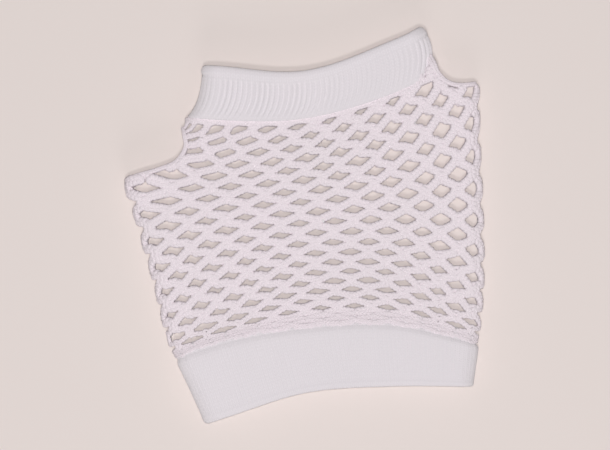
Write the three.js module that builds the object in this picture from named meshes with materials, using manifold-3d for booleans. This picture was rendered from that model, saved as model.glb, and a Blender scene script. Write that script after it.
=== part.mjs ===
// A fingerless net glove, lying on its back with its front up. It is a flattened knitted tube:
// a plain wrist cuff, a gathered joining course, a coarse net over the palm and the back of the hand,
// and a ribbed band round three fingers. The thumb and the little finger leave by slits in the sides.
// Units are millimetres. X runs from the thumb side to the little finger side, Y from the wrist
// to the fingers, and Z up. The origin is on the resting plane, under the middle of the glove.
import * as THREE from 'three';
import Module from 'manifold-3d';
import { mergeVertices } from 'three/addons/utils/BufferGeometryUtils.js';

const wasm = await Module();
wasm.setup();

// Driving dimensions of the knit
const NET_WALL = 1.6;
const GATHER_WALL = 1.8;
const CUFF_WALL = 2.0;
const BAND_WALL = 2.0;
const EDGE_CORD_RADIUS = 0.6;
const PIECE_GAP = 0.35;

// Outer height of the flattened tube at its folds, and how far its upper layer crowns above that
const NET_HEIGHT = 8.4;
const NET_CROWN = 0.8;
const GATHER_HEIGHT = 9.0;
const CUFF_TOP_HEIGHT = 9.2;
const CUFF_MOUTH_HEIGHT = 9.8;
const CUFF_CROWN = 1.4;
const BAND_HEIGHT = 9.2;
const BAND_MOUTH_HEIGHT = 9.6;
const BAND_CROWN = 1.0;

// Net columns are counted in half columns from the thumb side fold to the little finger side fold,
// and courses downwards from the finger band to the cuff.
const FIRST_COLUMN = -8;
const LAST_COLUMN = 12;
const NET_TOP_COURSE = -6.88;
const NET_BOTTOM_COURSE = 12.4;
const GATHER_TOP_COURSE = 12.55;
const GATHER_BOTTOM_COURSE = 13.85;

// Each course's side edges, the sideways bow of its columns, and its height at the five cuts
const CUT_X = [-52, -26, 0, 26, 52];
const COURSES = [
  { course: -7, left: -33.9, right: 51.3, bow: 0.00, heights: [38.0, 32.7, 32.4, 39.8, 57.0] },
  { course: -6, left: -37.1, right: 51.2, bow: 0.00, heights: [28.5, 27.9, 29.2, 36.6, 45.0] },
  { course: -4, left: -45.2, right: 51.3, bow: 0.10, heights: [24.0, 21.1, 22.9, 28.7, 35.5] },
  { course: -2, left: -52.7, right: 51.4, bow: 0.20, heights: [15.0, 14.2, 16.4, 20.5, 25.5] },
  { course: 2, left: -49.1, right: 52.3, bow: 0.08, heights: [-1.8, 1.4, 3.6, 5.1, 6.0] },
  { course: 6, left: -44.8, right: 52.7, bow: -0.04, heights: [-18.5, -12.4, -8.6, -8.3, -12.0] },
  { course: 10, left: -41.6, right: 52.1, bow: -0.06, heights: [-34.0, -25.7, -20.0, -19.5, -26.5] },
  { course: 12, left: -40.1, right: 51.8, bow: -0.05, heights: [-41.0, -31.5, -25.0, -24.5, -32.0] },
  { course: 14, left: -38.5, right: 51.1, bow: -0.03, heights: [-45.0, -35.0, -30.6, -29.8, -35.5] },
];

// The cuff's open rim and the band's open rim, in the same form
const CUFF_RIM = { left: -29.9, right: 49.4, heights: [-64.0, -56.7, -48.7, -46.8, -47.2] };
const BAND_RIM = { left: -30.3, right: 34.9, heights: [47.5, 45.9, 44.6, 53.6, 66.0] };
const BAND_ROOT_RIGHT = 36.6;
const BAND_FOLD_BULGE = 1.6;

// The slits' edges, seen from above. Each starts and ends just off the net.
const THUMB_EDGE = [
  { x: -54.0, y: 14.0 },
  { x: -48.5, y: 15.4 },
  { x: -42.8, y: 17.1 },
  { x: -38.3, y: 19.1 },
  { x: -35.8, y: 23.2 },
  { x: -37.0, y: 27.2 },
  { x: -39.5, y: 29.0 },
];
const LITTLE_FINGER_EDGE = [
  { x: 37.8, y: 48.6 },
  { x: 38.9, y: 45.7 },
  { x: 40.9, y: 43.4 },
  { x: 43.4, y: 42.0 },
  { x: 46.5, y: 41.7 },
  { x: 53.0, y: 42.4 },
];

// Holes cut through the net: how many half pitches across and down, and each hole's half sizes
const HOLE_STEPS_ACROSS = 13;
const HOLE_STEPS_DOWN = 11;
const HOLE_HALF_WIDTH = 1.03;
const HOLE_HALF_HEIGHT = 1.12;
const HOLE_SHOULDER = 0.5;
const HOLE_EDGE_MARGIN = 3.4;
const SLIT_MARGIN = 2.2;

// Ribs, rims and ruffles
const RIB_PITCH = 1.45;
const RIB_DEPTH = 0.35;
const RIM_WIDTH_SHARE = 0.16;
const RIB_FADE_SHARE = 0.1;
const RUFFLE_PITCH = 4.4;
const RUFFLE_DEPTH = 0.7;
const CUFF_HEM_SHARE = 0.08;
const CUFF_HEM_DROP = 0.25;

// How finely each form is faceted
const FOLD_COLUMNS = 1.2;
const FOLD_STEPS = 3;
const NET_FLAT_STEPS = 8;
const NET_COURSE_STEPS = 7;
const CUFF_FLAT_STEPS = 14;
const SLIT_STEPS = 4;
const CORD_STEPS = 44;
const CORD_SIDES = 6;
const NET_TOLERANCE = 0.04;

// How far a cutter reaches past what it cuts
const OVERSHOOT = 12;

// The middle of the glove in the tables above
const CENTRE = { x: -0.1, y: -0.12 };

// A smooth value through a table's points, with the slopes of their neighbours
function smooth(xs, ys, x) {
  let i = 0;
  while (i < xs.length - 2 && x > xs[i + 1]) {
    i += 1;
  }
  const slope = (k) => {
    const a = Math.max(0, k - 1);
    const b = Math.min(xs.length - 1, k + 1);
    return (ys[b] - ys[a]) / (xs[b] - xs[a]);
  };
  const span = xs[i + 1] - xs[i];
  const s = (x - xs[i]) / span;
  const h = s * s * (3 - 2 * s);
  return ys[i] * (1 - h) + ys[i + 1] * h
    + span * (s * (1 - s) * (1 - s) * slope(i) - s * s * (1 - s) * slope(i + 1));
}

const mix = THREE.MathUtils.lerp;
const column = (rows, name) => rows.map((row) => row[name]);

// A line across the glove: its height at any x
const lineHeight = (line, x) => smooth(CUT_X, line.heights, x);

// The line of any course, read from the table
function courseLine(course) {
  const counts = column(COURSES, 'course');
  const read = (name) => smooth(counts, column(COURSES, name), course);
  const heights = CUT_X.map((_, k) => smooth(counts, COURSES.map((row) => row.heights[k]), course));
  return { left: read('left'), right: read('right'), bow: read('bow'), heights };
}

// A point of a flattened tube's section. along runs from 0 at the thumb side fold to 1 at the other,
// inset is measured inwards from the outer face, and the lower layer lies flat on the resting plane.
function sectionPoint({ left, right, height, crown }, along, upper, inset) {
  const fold = height / 2;
  const arc = (Math.PI * fold) / 2;
  const run = right - left - 2 * fold;
  const distance = along * (run + 2 * arc);
  let centre = left + fold + distance - arc;
  let outX = 0;
  let outZ = 1;
  if (distance < arc) {
    centre = left + fold;
    outX = -Math.cos(distance / fold);
    outZ = Math.sin(distance / fold);
  } else if (distance > arc + run) {
    const turn = (distance - arc - run) / fold;
    centre = right - fold;
    outX = Math.sin(turn);
    outZ = Math.cos(turn);
  }
  const outer = centre + outX * fold;
  const lift = crown * outZ * Math.sin((Math.PI * (outer - left)) / (right - left));
  const rise = outZ * (fold - inset);
  return { x: centre + outX * (fold - inset), outer, z: upper ? fold + rise + lift : fold - rise };
}

const netAlong = (columnCount, bow) => {
  const t = (columnCount - FIRST_COLUMN) / (LAST_COLUMN - FIRST_COLUMN);
  return t + bow * t * (1 - t);
};

// A point of the net, or of a ring knitted on in the same columns and courses
function netPoint(columnCount, course, upper, inset, height = NET_HEIGHT, crown = NET_CROWN) {
  const line = courseLine(course);
  const section = { left: line.left, right: line.right, height, crown };
  const p = sectionPoint(section, netAlong(columnCount, line.bow), upper, inset);
  return new THREE.Vector3(p.x, lineHeight(line, p.outer), p.z);
}

// A closed solid from a grid of points that closes on itself both ways
function ringSolid(grid) {
  const count = grid[0].length;
  const position = grid.flat().flatMap((p) => [p.x, p.y, p.z]);
  const index = [];
  grid.forEach((_, i) => {
    const next = (i + 1) % grid.length;
    for (let k = 0; k < count; k += 1) {
      const up = (k + 1) % count;
      const [a, b, c, d] = [i * count + k, next * count + k, next * count + up, i * count + up];
      index.push(a, b, c, a, c, d);
    }
  });
  const geometry = new THREE.BufferGeometry();
  geometry.setAttribute('position', new THREE.Float32BufferAttribute(position, 3));
  geometry.setIndex(index);
  return geometry;
}

// Stations once round a flattened tube: over the upper layer, then back under the lower one
function aroundTube(stations) {
  const over = stations.map((at) => ({ at, upper: true }));
  const under = stations.slice(1, -1).reverse().map((at) => ({ at, upper: false }));
  return [...over, ...under];
}

// Column counts from fold to fold, closer together on the folds
function netColumns(flatSteps) {
  const first = [];
  const last = [];
  for (let k = 0; k < FOLD_STEPS; k += 1) {
    first.push(FIRST_COLUMN + (FOLD_COLUMNS * k) / FOLD_STEPS);
    last.unshift(LAST_COLUMN - (FOLD_COLUMNS * k) / FOLD_STEPS);
  }
  const flat = Array.from({ length: flatSteps + 1 }, (_, k) => (
    mix(FIRST_COLUMN + FOLD_COLUMNS, LAST_COLUMN - FOLD_COLUMNS, k / flatSteps)));
  return [...first, ...flat, ...last];
}

const toManifold = (geometry) => {
  const bare = geometry.clone();
  bare.deleteAttribute('normal');
  bare.deleteAttribute('uv');
  const merged = mergeVertices(bare, 1e-4);
  return new wasm.Manifold(new wasm.Mesh({
    numProp: 3,
    vertProperties: new Float32Array(merged.attributes.position.array),
    triVerts: new Uint32Array(merged.index.array),
  }));
};

const fromManifold = (solid) => {
  const mesh = solid.getMesh();
  const geometry = new THREE.BufferGeometry();
  geometry.setAttribute('position', new THREE.Float32BufferAttribute(mesh.vertProperties, 3));
  geometry.setIndex([...mesh.triVerts]);
  return geometry;
};

// A straight cutter through both layers, from an outline of points seen from above
function throughCutter(outline) {
  const shape = new THREE.Shape(outline.map((p) => new THREE.Vector2(p.x, p.y)));
  const depth = NET_HEIGHT + 2 * OVERSHOOT;
  const cutter = new THREE.ExtrudeGeometry(shape, { depth, bevelEnabled: false });
  return toManifold(cutter.translate(0, 0, -OVERSHOOT));
}

// The course that passes through a point seen from above
function courseAt(x, y) {
  let low = COURSES[0].course;
  let high = COURSES[COURSES.length - 1].course;
  for (let k = 0; k < 20; k += 1) {
    const middle = (low + high) / 2;
    if (lineHeight(courseLine(middle), x) > y) {
      low = middle;
    } else {
      high = middle;
    }
  }
  return low;
}

// A slit's edge made smooth between the points of its table
function slitOutline(edge) {
  const counts = edge.map((_, k) => k);
  return Array.from({ length: (edge.length - 1) * SLIT_STEPS + 1 }, (_, k) => new THREE.Vector3(
    smooth(counts, column(edge, 'x'), k / SLIT_STEPS),
    smooth(counts, column(edge, 'y'), k / SLIT_STEPS),
    0,
  ));
}

// Each slit's open side, as an outline whose far corners lie off the net
function thumbOpening() {
  const first = THUMB_EDGE[0];
  const last = THUMB_EDGE[THUMB_EDGE.length - 1];
  const beside = first.x - OVERSHOOT;
  return [
    ...slitOutline(THUMB_EDGE),
    new THREE.Vector3(beside, last.y, 0),
    new THREE.Vector3(beside, first.y, 0),
  ];
}

function littleFingerOpening() {
  const first = LITTLE_FINGER_EDGE[0];
  const last = LITTLE_FINGER_EDGE[LITTLE_FINGER_EDGE.length - 1];
  const above = first.y + OVERSHOOT;
  const beside = last.x + OVERSHOOT;
  return [
    ...slitOutline(LITTLE_FINGER_EDGE),
    new THREE.Vector3(beside, last.y, 0),
    new THREE.Vector3(beside, above, 0),
    new THREE.Vector3(first.x, above, 0),
  ];
}

// Whether a point seen from above lies inside an outline
function isInside(p, outline) {
  return outline.reduce((inside, a, k) => {
    const b = outline[(k + 1) % outline.length];
    const crosses = (a.y > p.y) !== (b.y > p.y) && p.x < a.x + ((b.x - a.x) * (p.y - a.y)) / (b.y - a.y);
    return crosses ? !inside : inside;
  }, false);
}

// One hole's outline: a hexagon, long across the glove, kept clear of the side folds
function holeOutline(columnCount, course) {
  const corners = [
    { across: 1, down: 0 },
    { across: HOLE_SHOULDER, down: 1 },
    { across: -HOLE_SHOULDER, down: 1 },
    { across: -1, down: 0 },
    { across: -HOLE_SHOULDER, down: -1 },
    { across: HOLE_SHOULDER, down: -1 },
  ];
  return corners.map(({ across, down }) => {
    const at = course + down * HOLE_HALF_HEIGHT;
    const line = courseLine(at);
    const p = netPoint(columnCount + across * HOLE_HALF_WIDTH, at, true, 0);
    p.x = THREE.MathUtils.clamp(p.x, line.left + HOLE_EDGE_MARGIN, line.right - HOLE_EDGE_MARGIN);
    return p;
  });
}

const isNear = (p, outline) => outline.some((q) => Math.hypot(p.x - q.x, p.y - q.y) < SLIT_MARGIN);

function holeCutters(openings) {
  const stepAcross = (LAST_COLUMN - FIRST_COLUMN) / HOLE_STEPS_ACROSS;
  const stepDown = (NET_BOTTOM_COURSE - NET_TOP_COURSE) / HOLE_STEPS_DOWN;
  const cutters = [];
  for (let i = 1; i < HOLE_STEPS_ACROSS; i += 1) {
    for (let j = 1; j < HOLE_STEPS_DOWN; j += 1) {
      const outline = holeOutline(FIRST_COLUMN + i * stepAcross, NET_TOP_COURSE + j * stepDown);
      const meetsSlit = openings.some((opening) => (
        outline.some((p) => isInside(p, opening) || isNear(p, opening))));
      if ((i + j) % 2 === 0 && !meetsSlit) {
        cutters.push(throughCutter(outline));
      }
    }
  }
  return cutters;
}

function netTube() {
  const grid = aroundTube(netColumns(NET_FLAT_STEPS)).map(({ at, upper }) => {
    const levels = Array.from({ length: NET_COURSE_STEPS + 1 }, (_, k) => (
      mix(NET_BOTTOM_COURSE, NET_TOP_COURSE, k / NET_COURSE_STEPS)));
    const outside = levels.map((course) => netPoint(at, course, upper, 0));
    const inside = levels.reverse().map((course) => netPoint(at, course, upper, NET_WALL));
    return [...outside, ...inside];
  });
  const tube = toManifold(ringSolid(grid));
  const openings = [thumbOpening(), littleFingerOpening()];
  const cutters = [...openings.map(throughCutter), ...holeCutters(openings)];
  const cut = cutters.reduce((solid, cutter) => solid.subtract(cutter), tube);
  return fromManifold(cut.simplify(NET_TOLERANCE));
}

// The gathered course between the net and the cuff, ruffled on its outer face
function gatherRing() {
  const across = COURSES[COURSES.length - 1];
  const steps = 2 * Math.round((across.right - across.left) / RUFFLE_PITCH);
  const stations = netColumns(steps);
  const grid = aroundTube(stations).map(({ at, upper }, k) => {
    const dip = k % 2 === 0 && upper ? RUFFLE_DEPTH : 0;
    const p = (course, inset) => netPoint(at, course, upper, inset, GATHER_HEIGHT, CUFF_CROWN);
    const middle = (GATHER_TOP_COURSE + GATHER_BOTTOM_COURSE) / 2;
    return [
      p(GATHER_BOTTOM_COURSE, dip / 2), p(middle, dip), p(GATHER_TOP_COURSE, dip / 2),
      p(GATHER_TOP_COURSE, GATHER_WALL), p(GATHER_BOTTOM_COURSE, GATHER_WALL),
    ];
  });
  return ringSolid(grid);
}

// A point of the cuff: level is 0 at its joint with the net and 1 at its open rim
function cuffPoint(along, level, upper, inset) {
  const top = COURSES[COURSES.length - 1];
  const section = {
    left: mix(top.left, CUFF_RIM.left, level),
    right: mix(top.right, CUFF_RIM.right, level),
    height: mix(CUFF_TOP_HEIGHT, CUFF_MOUTH_HEIGHT, level),
    crown: CUFF_CROWN,
  };
  const p = sectionPoint(section, along, upper, inset);
  return new THREE.Vector3(p.x, mix(lineHeight(top, p.outer), lineHeight(CUFF_RIM, p.outer), level), p.z);
}

function wristCuff() {
  const stations = netColumns(CUFF_FLAT_STEPS).map((at) => netAlong(at, 0));
  const outerLevels = [1, 1 - CUFF_HEM_SHARE, 1 - CUFF_HEM_SHARE * 1.5, 0.6, 0.3, 0];
  const grid = aroundTube(stations).map(({ at, upper }) => {
    const outside = outerLevels.map((level, k) => {
      const sunk = upper && k > 1 ? CUFF_HEM_DROP : 0;
      return cuffPoint(at, level, upper, sunk);
    });
    const inside = [0, 0.5, 1].map((level) => cuffPoint(at, level, upper, CUFF_WALL));
    return [...outside, ...inside];
  });
  return ringSolid(grid);
}

// A point of the finger band: level is 0 at its joint with the net and 1 at its open rim
function bandPoint(along, level, upper, inset) {
  const root = { ...COURSES[0], right: BAND_ROOT_RIGHT };
  const section = {
    left: mix(root.left, BAND_RIM.left, level),
    right: mix(root.right, BAND_RIM.right, level) + BAND_FOLD_BULGE * Math.sin(Math.PI * level),
    height: mix(BAND_HEIGHT, BAND_MOUTH_HEIGHT, level),
    crown: BAND_CROWN,
  };
  const p = sectionPoint(section, along, upper, inset);
  return new THREE.Vector3(p.x, mix(lineHeight(root, p.outer), lineHeight(BAND_RIM, p.outer), level), p.z);
}

// Ribs run along the glove between the joint and the plain turned rim
function fingerBand() {
  const girth = BAND_RIM.right - BAND_RIM.left;
  const ribs = Math.round(girth / RIB_PITCH);
  const stations = Array.from({ length: 2 * ribs + 1 }, (_, k) => k / (2 * ribs));
  const ribTop = 1 - RIM_WIDTH_SHARE;
  const grid = aroundTube(stations).map(({ at, upper }, k) => {
    const groove = k % 2 === 1 ? RIB_DEPTH : 0;
    const p = (level, inset) => bandPoint(at, level, upper, inset);
    return [
      p(1, BAND_WALL), p(0, BAND_WALL), p(0, 0), p(RIB_FADE_SHARE, groove),
      p(ribTop - RIB_FADE_SHARE / 2, groove), p(ribTop, 0), p(1, 0),
    ];
  });
  return ringSolid(grid);
}

// A round cord that closes on itself, along a smooth loop through the points
function closedCord(points) {
  const curve = new THREE.CatmullRomCurve3(points, true, 'centripetal');
  const frames = curve.computeFrenetFrames(CORD_STEPS, true);
  const grid = [];
  for (let i = 0; i < CORD_STEPS; i += 1) {
    const centre = curve.getPointAt(i / CORD_STEPS);
    grid.push(Array.from({ length: CORD_SIDES }, (_, k) => {
      const turn = (-2 * Math.PI * k) / CORD_SIDES;
      return centre.clone()
        .addScaledVector(frames.normals[i], EDGE_CORD_RADIUS * Math.cos(turn))
        .addScaledVector(frames.binormals[i], EDGE_CORD_RADIUS * Math.sin(turn));
    }));
  }
  return ringSolid(grid);
}

// The cord's way beside a slit's edge on one layer, in the middle of the net's wall
function besideSlit(edge, upper) {
  const outline = slitOutline(edge);
  const fold = NET_HEIGHT / 2;
  const reach = fold - NET_WALL / 2;
  const points = [];
  outline.forEach((at, k) => {
    const course = courseAt(at.x, at.y);
    const line = courseLine(course);
    const past = Math.max(line.left + fold - at.x, at.x - line.right + fold, 0) / reach;
    if (past < 1 && course > NET_TOP_COURSE) {
      const rise = Math.sqrt(1 - past * past);
      const across = (at.x - line.left) / (line.right - line.left);
      const lift = NET_CROWN * rise * Math.sin(Math.PI * across);
      const before = outline[Math.max(0, k - 1)];
      const after = outline[Math.min(outline.length - 1, k + 1)];
      const aside = new THREE.Vector3(before.y - after.y, after.x - before.x, 0).normalize();
      const z = upper ? fold + reach * rise + lift : fold - reach * rise;
      points.push(new THREE.Vector3(at.x, at.y, z).addScaledVector(aside, EDGE_CORD_RADIUS + PIECE_GAP));
    }
  });
  return points;
}

function slitCord(edge) {
  const over = besideSlit(edge, true);
  const under = besideSlit(edge, false).reverse();
  return closedCord([...over, ...under]);
}

const NET_YARN = { color: 0xe4dce2, roughness: 0.9, metalness: 0 };
const FINE_KNIT = { color: 0xe0d9dd, roughness: 0.92, metalness: 0 };

function piece(name, geometry, look) {
  const mesh = new THREE.Mesh(geometry, new THREE.MeshStandardMaterial(look));
  mesh.name = name;
  geometry.computeVertexNormals();
  return mesh;
}

const glove = new THREE.Group();
glove.add(
  piece('mesh_tube', netTube(), NET_YARN),
  piece('cuff_gather', gatherRing(), FINE_KNIT),
  piece('wrist_cuff', wristCuff(), FINE_KNIT),
  piece('finger_band', fingerBand(), FINE_KNIT),
  piece('thumb_slit_edge', slitCord(THUMB_EDGE), NET_YARN),
  piece('little_finger_slit_edge', slitCord(LITTLE_FINGER_EDGE), NET_YARN),
);
glove.position.set(-CENTRE.x, -CENTRE.y, 0);

export default glove;
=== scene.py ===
"""Dresses the fingerless net glove: yarn cords for the net, knitted shells for the cuff and the band."""

import math

import bpy
import numpy as np
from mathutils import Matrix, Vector


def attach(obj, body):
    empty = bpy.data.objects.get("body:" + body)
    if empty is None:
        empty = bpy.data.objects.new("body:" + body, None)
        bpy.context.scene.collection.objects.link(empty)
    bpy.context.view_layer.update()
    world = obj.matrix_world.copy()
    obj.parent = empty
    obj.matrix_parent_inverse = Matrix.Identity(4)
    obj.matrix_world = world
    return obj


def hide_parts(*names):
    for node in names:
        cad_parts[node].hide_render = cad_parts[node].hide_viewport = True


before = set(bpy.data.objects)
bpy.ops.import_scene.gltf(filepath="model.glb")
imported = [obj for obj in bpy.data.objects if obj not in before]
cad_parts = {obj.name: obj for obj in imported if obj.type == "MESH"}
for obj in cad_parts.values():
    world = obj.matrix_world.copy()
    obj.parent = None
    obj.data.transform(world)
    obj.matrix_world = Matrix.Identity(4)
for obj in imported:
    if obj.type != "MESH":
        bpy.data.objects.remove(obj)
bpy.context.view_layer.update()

MM = 0.001
BODY = "root"

# The flattened tubes' walls, their heights at the folds and how far their middles rise, in millimetres
NET_WALL = 1.6
NET_HEIGHT = 8.4
NET_CROWN = 0.8
CUFF_WALL = 1.9
CUFF_TOP_HEIGHT = 9.2
CUFF_MOUTH_HEIGHT = 9.8
CUFF_CROWN = 1.4
BAND_WALL = 1.9
BAND_HEIGHT = 9.2
BAND_MOUTH_HEIGHT = 9.6
BAND_CROWN = 1.0

# The band's right edge at its root, and how far its right fold bulges between the root and the rim
BAND_ROOT_RIGHT = 36.6
BAND_FOLD_BULGE = 1.6

# How a shell's left side runs in towards its rim: nearly straight, or quickly at first
STRAIGHT_SIDE = 50.0
CURVED_SIDE = 0.5

# The net's column lines at its two folds, and the courses where the band ends and the cuff starts
FIRST_COLUMN = -8
LAST_COLUMN = 12
BAND_END_COURSE = -6.6
CUFF_START_COURSE = 13.7

# Each course's side edges, the sideways bow of its columns, and its heights at the five cuts
CUT_X = np.array([-52.0, -26.0, 0.0, 26.0, 52.0])
COURSE_FIELDS = ("course", "left", "right", "bow", "heights")
COURSES = (
    (-7, -33.9, 51.3, 0.00, (38.0, 32.7, 32.4, 39.8, 57.0)),
    (-6, -37.1, 51.2, 0.00, (28.5, 27.9, 29.2, 36.6, 45.0)),
    (-4, -45.2, 51.3, 0.10, (24.0, 21.1, 22.9, 28.7, 35.5)),
    (-2, -52.7, 51.4, 0.20, (15.0, 14.2, 16.4, 20.5, 25.5)),
    (2, -49.1, 52.3, 0.08, (-1.8, 1.4, 3.6, 5.1, 6.0)),
    (6, -44.8, 52.7, -0.04, (-18.5, -12.4, -8.6, -8.3, -12.0)),
    (10, -41.6, 52.1, -0.06, (-34.0, -25.7, -20.0, -19.5, -26.5)),
    (12, -40.1, 51.8, -0.05, (-41.0, -31.5, -25.0, -24.5, -32.0)),
    (14, -38.5, 51.1, -0.03, (-45.0, -35.0, -30.6, -29.8, -35.5)),
)
CUFF_RIM = {"left": -29.9, "right": 49.4, "heights": (-64.0, -56.7, -48.7, -46.8, -47.2)}
BAND_RIM = {"left": -30.3, "right": 34.9, "heights": (47.5, 45.9, 44.6, 53.6, 66.0)}

# The slits' edges, seen from above, and how far their openings are taken past the glove's sides
THUMB_EDGE = (
    (-54.0, 14.0), (-48.5, 15.4), (-42.8, 17.1), (-38.3, 19.1), (-35.8, 23.2), (-37.0, 27.2), (-39.5, 29.0),
)
LITTLE_FINGER_EDGE = (
    (37.8, 48.6), (38.9, 45.7), (40.9, 43.4), (43.4, 42.0), (46.5, 41.7), (53.0, 42.4),
)
OPENING_REACH = 12.0
STEPS_PER_EDGE_POINT = 8

# The middle of the whole glove, which stands at the origin
CENTRE = (-0.1, -0.12)


def smooth(xs, ys, x):
    """Values through a table's points, with the slopes of their neighbours. ys may hold rows."""
    xs, ys = np.asarray(xs, float), np.asarray(ys, float)
    x = np.asarray(x, float)
    i = np.clip(np.searchsorted(xs, x) - 1, 0, len(xs) - 2)
    before = np.maximum(np.arange(len(xs)) - 1, 0)
    after = np.minimum(np.arange(len(xs)) + 1, len(xs) - 1)
    spread = (xs[after] - xs[before]).reshape([-1] + [1] * (ys.ndim - 1))
    slopes = (ys[after] - ys[before]) / spread
    span = xs[i + 1] - xs[i]
    s = (x - xs[i]) / span
    if ys.ndim > 1:
        s, span = s[..., None], span[..., None]
    h = s * s * (3 - 2 * s)
    bend = s * (1 - s) ** 2 * slopes[i] - s * s * (1 - s) * slopes[i + 1]
    return ys[i] * (1 - h) + ys[i + 1] * h + span * bend


def line_height(heights, x):
    """A line's height at x, where heights holds its values at the five cuts, for each point of x."""
    x = np.asarray(x, float)
    last = len(CUT_X) - 1
    heights = np.broadcast_to(np.asarray(heights, float), x.shape + CUT_X.shape)
    i = np.clip(np.searchsorted(CUT_X, x) - 1, 0, last - 1)

    def at(k):
        return np.take_along_axis(heights, np.clip(k, 0, last)[..., None], -1)[..., 0]

    def slope(k):
        a, b = np.maximum(k - 1, 0), np.minimum(k + 1, last)
        return (at(b) - at(a)) / (CUT_X[b] - CUT_X[a])

    span = CUT_X[i + 1] - CUT_X[i]
    s = (x - CUT_X[i]) / span
    h = s * s * (3 - 2 * s)
    bend = s * (1 - s) ** 2 * slope(i) - s * s * (1 - s) * slope(i + 1)
    return at(i) * (1 - h) + at(i + 1) * h + span * bend


def course_field(name):
    """One field of every course in the table."""
    k = COURSE_FIELDS.index(name)
    return [row[k] for row in COURSES]


def course_line(course):
    """A course's left and right edges, the bow of its columns, and its heights at the five cuts."""
    counts = course_field("course")
    return tuple(smooth(counts, course_field(name), course) for name in COURSE_FIELDS[1:])


def course_height(x, course):
    """How far apart two courses are at x, in millimetres."""
    after = line_height(course_line(course + 0.5)[-1], x)
    return line_height(course_line(course - 0.5)[-1], x) - after


def course_slope(x, course):
    """How steeply a course rises to the right at x."""
    heights = course_line(course)[-1]
    return (line_height(heights, x + 1) - line_height(heights, x - 1)) / 2


def column_pitch(course):
    """How far apart the column lines are, in millimetres, round the tube's folds too."""
    left, right, _, _ = course_line(course)
    return (right - left + (math.pi - 2) * NET_HEIGHT / 2) / (LAST_COLUMN - FIRST_COLUMN)


def section(left, right, height, crown, along, upper, inset):
    """x, z and the outer face's x on a flattened tube's section, inset from that face.

    along runs from 0 at the left fold to 1 at the right one, and upper is 1 on top and 0 underneath.
    """
    fold = height / 2
    arc = math.pi * fold / 2
    run = right - left - 2 * fold
    distance = along * (run + 2 * arc)
    first = np.clip(distance / fold, None, math.pi / 2)
    last = np.clip((distance - arc - run) / fold, 0, None)
    on_first, on_last = distance < arc, distance > arc + run
    out_x = np.where(on_first, -np.cos(first), np.where(on_last, np.sin(last), 0.0))
    out_z = np.where(on_first, np.sin(first), np.where(on_last, np.cos(last), 1.0))
    centre = np.clip(left + fold + distance - arc, left + fold, right - fold)
    outer = centre + out_x * fold
    across = np.clip((outer - left) / (right - left), 0, 1)
    lift = crown * out_z * np.sin(math.pi * across)
    rise = out_z * (fold - inset)
    z = np.where(upper > 0.5, fold + rise + lift, fold - rise)
    return centre + out_x * (fold - inset), z, outer


def in_metres(x, y, z):
    """Points in metres round the origin, from millimetres on the glove."""
    return np.stack([x - CENTRE[0], y - CENTRE[1], z], -1) * MM


def net_along(columns, bow=0.0):
    """How far column lines lie from the left fold to the right one, from 0 to 1."""
    t = (np.asarray(columns, float) - FIRST_COLUMN) / (LAST_COLUMN - FIRST_COLUMN)
    return t + bow * t * (1 - t)


def net_point(columns, course, upper, inset, height=NET_HEIGHT, crown=NET_CROWN):
    """Points of the net's wall, inset from its outer face."""
    left, right, bow, heights = course_line(course)
    x, z, outer = section(left, right, height, crown, net_along(columns, bow), upper, inset)
    return in_metres(x, line_height(heights, outer), z)


def shell_root(course, height):
    """The line at a course where a shell begins."""
    left, right, _, heights = course_line(course)
    return {"left": float(left), "right": float(right), "heights": heights, "height": height}


def shell_point(root, rim, level, along, upper, inset, crown):
    """Points of a shell's wall between its root, at level 0, and its rim, at level 1."""
    run_in = 1 - np.exp(-level / rim["side"]) * (1 - level)
    left = root["left"] + (rim["left"] - root["left"]) * run_in
    right = root["right"] + (rim["right"] - root["right"]) * level + rim["bulge"] * np.sin(math.pi * level)
    height = root["height"] + (rim["height"] - root["height"]) * level
    x, z, outer = section(left, right, height, crown, along, upper, inset)
    y = line_height(root["heights"], outer) * (1 - level) + line_height(rim["heights"], outer) * level
    return in_metres(x, y, z)


CUFF_ROOT = shell_root(CUFF_START_COURSE, CUFF_TOP_HEIGHT)
CUFF_MOUTH = {**CUFF_RIM, "height": CUFF_MOUTH_HEIGHT, "bulge": 0.0, "side": STRAIGHT_SIDE}
BAND_ROOT = {**shell_root(BAND_END_COURSE, BAND_HEIGHT), "right": BAND_ROOT_RIGHT}
BAND_MOUTH = {**BAND_RIM, "height": BAND_MOUTH_HEIGHT, "bulge": BAND_FOLD_BULGE, "side": CURVED_SIDE}


# The slits


def slit_outline(edge):
    """A slit's edge as smooth points seen from above, in millimetres."""
    spans = len(edge) - 1
    return smooth(np.arange(len(edge)), edge, np.linspace(0, spans, spans * STEPS_PER_EDGE_POINT + 1))


def thumb_opening():
    """The outline of the thumb slit's opening, which leaves the glove on the left."""
    outside = THUMB_EDGE[0][0] - OPENING_REACH
    corners = [(outside, THUMB_EDGE[-1][1]), (outside, THUMB_EDGE[0][1])]
    return np.vstack([slit_outline(THUMB_EDGE), corners])


def little_finger_opening():
    """The outline of the little finger slit's opening, which leaves the glove on the right and above."""
    start, end = LITTLE_FINGER_EDGE[0], LITTLE_FINGER_EDGE[-1]
    outside, above = end[0] + OPENING_REACH, start[1] + OPENING_REACH
    corners = [(outside, end[1]), (outside, above), (start[0], above)]
    return np.vstack([slit_outline(LITTLE_FINGER_EDGE), corners])


THUMB_OPENING = thumb_opening()
LITTLE_FINGER_OPENING = little_finger_opening()


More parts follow.
